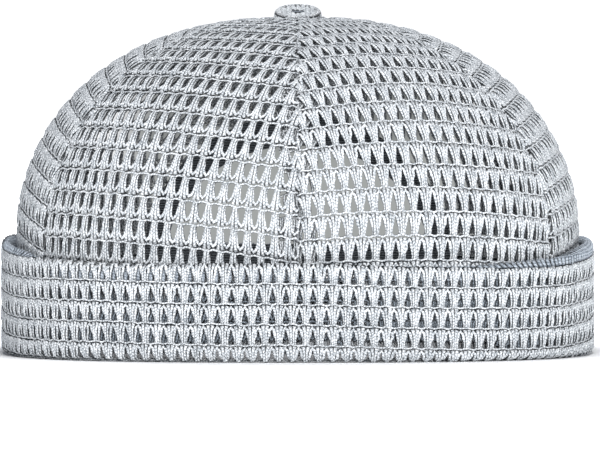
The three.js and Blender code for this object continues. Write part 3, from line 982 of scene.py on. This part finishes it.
def addButton():
    b = button
    profile = smoothPath(b["profile"], (len(b["profile"]) - 1) * b["finerBy"])
    profile[0, 0] = profile[-1, 0] = 0
    sides = b["sides"]
    angles = np.linspace(0, 2 * math.pi, sides, endpoint=False)
    vertices = [buttonPlace(radius, height, angle) * mm for radius, height in profile for angle in angles]
    faces, kinds = [], []
    pitRadius = b["profile"][b["lastKnitted"]][0]
    for i in range(len(profile) - 1):
        for k in range(sides):
            a, c = i * sides + k, i * sides + (k + 1) % sides
            faces.append((a, c, c + sides, a + sides))
            # Faces in the middle of the top take the dark colour: painted shade in the knit's dimple
            kinds.append(int(profile[i][0] <= pitRadius and profile[i][1] > 0))
    linings = {"grey cotton lining": b["core"], "dark painted pit shade": b["pitShade"]}
    materials = [liningMaterial(name, colour) for name, colour in linings.items()]
    core = addMesh("button_core", vertices, faces, materials, kinds)
    units = jerseyUnits()
    values = {
        **units,
        "Columns": b["columns"],
        "Rows": b["rows"],
        "Pitch Across": b["pitchAcross"],
        "Pitch Up": b["pitchUp"],
        "Turn": b["turn"],
        "Stitch Scale": b["stitchScale"],
        "Waviness": b["waviness"],
        "Seed": b["seed"],
    }
    cover = yarnMaterial("pale grey button yarn", brighter=b["brighter"])
    knit = makeCloth("button_knit", cloth, buttonGuide(), values, cover)
    for spare in units.values():
        bpy.data.objects.remove(spare)
    radius, height, cord = b["ring"]
    parts = MeshParts()
    parts.addTube([(*buttonPlace(radius, height, angle), cord) for angle in (*angles, 2 * math.pi)],
                  b["cordSides"])
    parts.vertices = [vertex * mm for vertex in parts.vertices]
    ring = parts.toObject("button_ring")
    ring.data.materials.append(yarnMaterial("pale grey cord", **b["cordYarn"]))
    for piece in (core, knit, ring):
        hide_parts("top_button")
        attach(piece, "root")


addButton()
for unit in allUnits:
    bpy.data.objects.remove(unit)
print("button made")

# Binding of the half-moon gap: a pale folded edge outside and a broad dark tape inside, its
# dark partly painted shade. A section's places are how far from the edge of the gap and how far
# out from the cloth's middle.
binding = {
    "endAngle": 6,
    "steps": 60,
    "slopeStep": 0.2,
    "footNarrowing": 0.35,  # the inner tape is this much narrower at its two feet
    "outer": [(0.4, 1.05), (3.2, 1.1), (3.45, 1.45), (3.2, 1.8), (2, 1.95), (0.6, 1.85), (-0.5, 1.5),
              (-0.95, 0.9), (-1.05, 0), (-0.95, -0.9), (-0.6, -1.45), (-0.1, -1.3), (-0.5, -0.5),
              (-0.5, 0.5)],
    "inner": [(-0.6, -1.3), (-0.2, -1.15), (4, -1.1), (10, -1.1), (10.3, -1.4), (10, -1.75), (5, -1.85),
              (0, -1.85), (-0.6, -1.7)],
    "footTape": [(25.2, -1.2), (31.2, -1.2), (31.6, -1.5), (31.2, -1.85), (25.2, -1.85), (24.8, -1.5)],
    "footHalfWidth": 50,
    "tape": "#8c9298",
    "tapeGrooveShade": "#08090b",
    "edge": "#c6ccd2",
    "edgeShade": "#8e959c",
    "ribMm": 0.8,
    "tapeRelief": {"ribs": 2.0, "weave": 0.8, "from": 0.3, "to": 1.5},
    "edgeTone": {"patches": 0.4, "from": 0.45, "to": 0.95},
    "tapeWeaveMm": 0.35,
    "edgeWeaveMm": 0.45,
    "edgePatchMm": 2.5,
    "tapeFinish": {"bumpMm": 0.12, "roughness": 0.9, "sheen": 0.05},
    "edgeFinish": {"bumpMm": 0.15, "roughness": 0.88, "sheen": 0.1},
}


def backSurface(x, height, inset):
    # Depth of the crown's back at this place
    domeHeight = crown["topHeight"] - inset - crown["shoulderHeight"]
    rise = max(height - crown["shoulderHeight"], 0) / domeHeight
    angle = math.asin(rise ** (crown["riseCurve"] / 2))
    halfWidth, halfDepth, squareness = crownPlan(angle, rise, inset)
    return halfDepth * (1 - (abs(x) / halfWidth) ** squareness) ** (1 / squareness)


def onBack(x, height, out):
    step = binding["slopeStep"]
    inset = crown["fabricMiddle"]
    depth = backSurface(x, height, inset)
    slopeX = (backSurface(x + step, height, inset) - backSurface(x - step, height, inset)) / (2 * step)
    slopeZ = (backSurface(x, height + step, inset) - backSurface(x, height - step, inset)) / (2 * step)
    normal = np.array((-slopeX, 1, -slopeZ))
    normal /= np.linalg.norm(normal)
    return np.array((x, depth, height)) + normal * out


def sweptStrip(name, sections, material):
    count = len(sections[0])
    vertices = [point * mm for section in sections for point in section]
    faces = []
    for i in range(len(sections) - 1):
        for k in range(count):
            a, b = i * count + k, i * count + (k + 1) % count
            faces.append((a, b, b + count, a + count))
    faces.append(tuple(reversed(range(count))))
    faces.append(tuple((len(sections) - 1) * count + k for k in range(count)))
    piece = addMesh(name, vertices, faces, [material])
    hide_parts("opening_binding")
    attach(piece, "root")


def archSections(profile, narrowing=0):
    b, h = binding, halfMoon
    found = []
    for angle in np.linspace(b["endAngle"], 180 - b["endAngle"], b["steps"]) * degree:
        x, z = h["halfWidth"] * math.cos(angle), h["footHeight"] + h["height"] * math.sin(angle)
        away = np.array((math.cos(angle) / h["halfWidth"], math.sin(angle) / h["height"]))
        away /= np.linalg.norm(away)
        low, high = onBack(x, z, 0), onBack(x + away[0], z + away[1], 0)
        stretch = np.linalg.norm(high - low)
        stretch /= 1 - narrowing * math.cos(angle) ** 2
        found.append([onBack(x + away[0] * far / stretch, z + away[1] * far / stretch, out)
                      for far, out in profile])
    return found


def tapeMaterial():
    # Ribbed cotton tape with a dry weave. The near-black between the ribs is painted shade, and its dark
    # look stands in partly for the shade inside the crown.
    b = binding
    r = b["tapeRelief"]
    material, tree, place, weave = startMaterial("dark ribbed tape, painted shade", (b["tapeWeaveMm"], 2.0))
    height = addNode(tree, "ShaderNodeSeparateXYZ", None, (place,), "Z")
    ribs = addNode(tree, "ShaderNodeMath", {"operation": "DIVIDE"}, (height, b["ribMm"] * mm))
    wave = addNode(tree, "ShaderNodeMath", {"operation": "PINGPONG"}, (ribs, 0.5))
    fuzz = addNode(tree, "ShaderNodeMath", {"operation": "MULTIPLY"}, (weave, r["weave"]))
    relief = addNode(tree, "ShaderNodeMath", {"operation": "MULTIPLY_ADD"}, (wave, r["ribs"], fuzz))
    # Painted shade: darker where the rib relief dips, near-black between the ribs
    colour = paintBetween(tree, relief, r["from"], r["to"],
                          linearColour(b["tapeGrooveShade"]), linearColour(b["tape"]))
    finishCloth(tree, colour, relief, **b["tapeFinish"])
    return material


def edgeMaterial():
    # Pale folded strip of plain weave
    b = binding
    t = b["edgeTone"]
    material, tree, _, weave, patches = startMaterial(
        "pale grey plain weave", (b["edgeWeaveMm"], 3.0), (b["edgePatchMm"], 1.0))
    tone = addNode(tree, "ShaderNodeMath", {"operation": "MULTIPLY_ADD"}, (patches, t["patches"], weave))
    colour = paintBetween(tree, tone, t["from"], t["to"],
                          linearColour(b["edgeShade"]), linearColour(b["edge"]))
    finishCloth(tree, colour, weave, **b["edgeFinish"])
    return material


def addBinding():
    b = binding
    tape = tapeMaterial()
    sweptStrip("gap_edge", archSections(b["outer"]), edgeMaterial())
    sweptStrip("gap_inner_tape", archSections(b["inner"], b["footNarrowing"]), tape)
    # A dark tape along the gap's foot, where the crown's back lies in shade: its darkness is partly painted
    # shade
    foot = []
    for x in np.linspace(-b["footHalfWidth"], b["footHalfWidth"], b["steps"]):
        foot.append([onBack(x, height, out) for height, out in b["footTape"]])
    sweptStrip("gap_foot_tape", foot, tape)


addBinding()
print("binding made")

# Floor and lights, in metres. The camera is so low that the floor is all the background it sees.
# A narrow strip of the floor behind the cap is painted in a shade colour, painted shade that
# shows only through the gap in the back.
studio = {
    "floorRadius": 30,
    "floorColour": "#fbfbfb",
    "floorRoughness": 0.9,
    "glowFrom": 0.094,  # the far floor glows, to be as white as the near, which the lamps light
    "glowFull": 0.13,
    # Painted shade: the floor's glow is dimmed beside the cap
    "flagFrom": 0.115,  # the floor is dimmer beside the cap, as if dark cards stood there
    "flagFull": 0.2,
    "flagFade": 0.42,
    "flagEnd": 0.7,
    "leftDimming": 0.68,
    "rightDimming": 0.42,
    "shadeColour": "#747674",
    "shadeHalfWidth": 0.088,
    "shadeSoftness": 0.02,
    "shadeStart": (0.6, 0.84),
    "shadeEnd": (3.78, 4.62),
    "worldColour": "#e6eeff",
    "worldStrength": 0.2,
    "aim": (0, 0, 0.05),
    "lights": [  # name, place, size across and up, and power
        ("frontSoftbox", (0.3, -2.5, 0.9), (1.2, 0.9), 67),
        ("topSoftbox", (0.1, -0.5, 2.0), (0.8, 0.8), 15),
        ("backSoftbox", (0.2, 2.3, 1.1), (1.2, 0.9), 14),
        ("leftSoftbox", (-1.8, -0.6, 0.8), (1.0, 1.0), 1),
        ("rightSoftbox", (1.8, -0.6, 0.8), (1.0, 1.0), 1),
    ],
}


def floorMaterial():
    # Matt paper: no gloss of its own. Near the cap it shows light and the cap's soft shadow; farther off it
    # glows, less beside the cap as painted shade, and a strip behind the cap is painted in the shade colour.
    s = studio
    material = bpy.data.materials.new("pale paper floor")
    material.use_nodes = True
    tree = material.node_tree
    shader = tree.nodes["Principled BSDF"]
    shader.inputs["Roughness"].default_value = s["floorRoughness"]
    place = addNode(tree, "ShaderNodeTexCoord", output="Object")
    parts = addNode(tree, "ShaderNodeSeparateXYZ", None, (place,), None).outputs
    aside = addNode(tree, "ShaderNodeMath", {"operation": "ABSOLUTE"}, (parts["X"],))
    distance = addNode(tree, "ShaderNodeVectorMath", {"operation": "LENGTH"}, (place,), "Value")
    ramps = []
    for value, low, high in (
        (aside, s["shadeHalfWidth"] + s["shadeSoftness"], s["shadeHalfWidth"] - s["shadeSoftness"]),
        (parts["Y"], *s["shadeStart"]),
        (parts["Y"], *reversed(s["shadeEnd"])),
        (aside, s["flagFrom"], s["flagFull"]),
        (distance, s["flagEnd"], s["flagFade"]),
        (distance, s["glowFrom"], s["glowFull"]),
    ):
        ramps.append(addNode(tree, "ShaderNodeMapRange", {"interpolation_type": "SMOOTHSTEP"},
                             {"Value": value, "From Min": low, "From Max": high}))
    narrow, behind, before, beside, near, glow = ramps
    isRight = addNode(tree, "ShaderNodeMath", {"operation": "GREATER_THAN"}, (parts["X"], 0.0))
    depth = addNode(tree, "ShaderNodeMapRange", None,
                    {"Value": isRight, "To Min": s["leftDimming"], "To Max": s["rightDimming"]})
    shade, dimming = narrow, beside
    for factor in (behind, before):
        shade = addNode(tree, "ShaderNodeMath", {"operation": "MULTIPLY"}, (shade, factor))
    for factor in (near, depth):
        dimming = addNode(tree, "ShaderNodeMath", {"operation": "MULTIPLY"}, (dimming, factor))
    left = addNode(tree, "ShaderNodeMath", {"operation": "SUBTRACT"}, (1.0, dimming))
    glow = addNode(tree, "ShaderNodeMath", {"operation": "MULTIPLY"}, (glow, left))
    tree.links.new(glow, shader.inputs["Emission Strength"])
    # Painted shade: the strip behind the cap takes the shade colour, in its base colour and its glow
    paint = addNode(tree, "ShaderNodeMix", {"data_type": "RGBA"}, {
        "Factor": shade, 6: linearColour(s["floorColour"]), 7: linearColour(s["shadeColour"]),
    }, 2)
    for socket in ("Base Color", "Emission Color"):
        tree.links.new(paint, shader.inputs[socket])
    return material


def addFloor():
    radius = studio["floorRadius"]
    corners = [(-radius, -radius, 0), (radius, -radius, 0), (radius, radius, 0), (-radius, radius, 0)]
    mesh = bpy.data.meshes.new("studioFloor")
    mesh.from_pydata(corners, [], [(0, 1, 2, 3)])
    mesh.materials.append(floorMaterial())
    addObject("studioFloor", mesh)


def addLights():
    world = bpy.data.worlds.new("studioWorld")
    world.use_nodes = True
    background = world.node_tree.nodes["Background"]
    background.inputs["Color"].default_value = linearColour(studio["worldColour"])
    background.inputs["Strength"].default_value = studio["worldStrength"]
    bpy.context.scene.world = world
    for name, place, size, power in studio["lights"]:
        data = bpy.data.lights.new(name, "AREA")
        data.shape = "RECTANGLE"
        data.size, data.size_y = size
        data.energy = power
        light = addObject(name, data)
        light.location = place
        light.rotation_euler = (Vector(studio["aim"]) - Vector(place)).to_track_quat("-Z", "Y").to_euler()


addFloor()
addLights()
bpy.context.scene.view_settings.view_transform = "Standard"
print("studio set")
